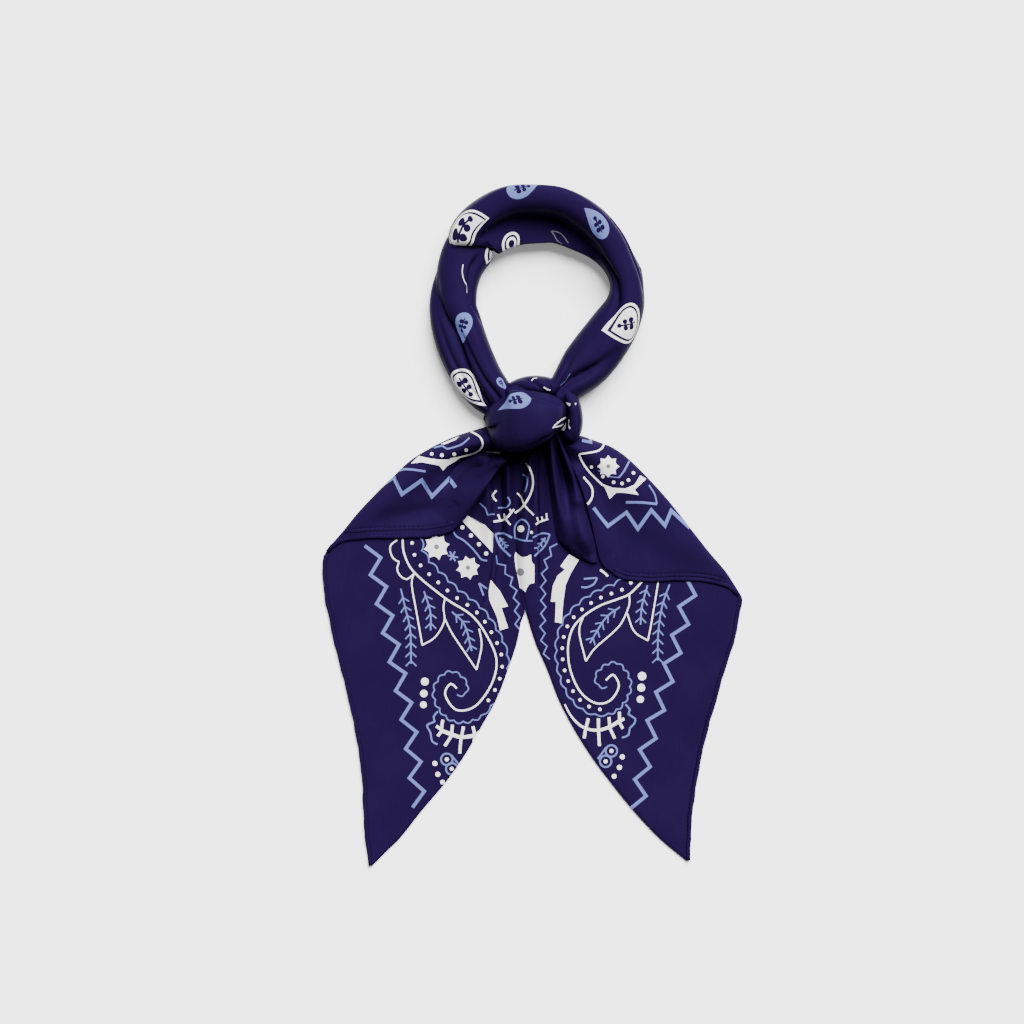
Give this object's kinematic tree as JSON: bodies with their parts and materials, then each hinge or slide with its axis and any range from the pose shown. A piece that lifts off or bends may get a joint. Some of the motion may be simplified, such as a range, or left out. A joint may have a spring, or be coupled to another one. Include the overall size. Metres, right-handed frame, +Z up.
{
  "type": "bandana",
  "caption": "Square satin bandana folded corner to corner and tied into a ring with a knot, lying flat with two pointed hemmed tails.",
  "frame": {"origin": "middle of the bandana's box, on the surface that it lies on", "axes": "+X to the right of the bandana as it lies, +Y from the tails to the ring, +Z up from the surface"},
  "size_m": [0.2458, 0.398, 0.042],
  "materials": {
    "printed_satin": "indigo satin weave with a white and light blue paisley print",
    "rolled_hem": "narrow rolled hem of the same satin, machine stitched"
  },
  "bodies": {
    "root": {"knot_band": "printed_satin", "knot_side": "printed_satin", "knot_back": "printed_satin", "ring_band": "printed_satin", "ring_inner_roll": "printed_satin", "ring_outer_roll": "printed_satin", "right_tongue": "printed_satin", "right_flap": "printed_satin", "left_flap": "printed_satin", "right_flap_hem": "rolled_hem", "left_flap_hem": "rolled_hem", "right_hem": "rolled_hem", "left_hem": "rolled_hem", "right_tail": "printed_satin", "left_tail": "printed_satin"}
  },
  "joints": []
}
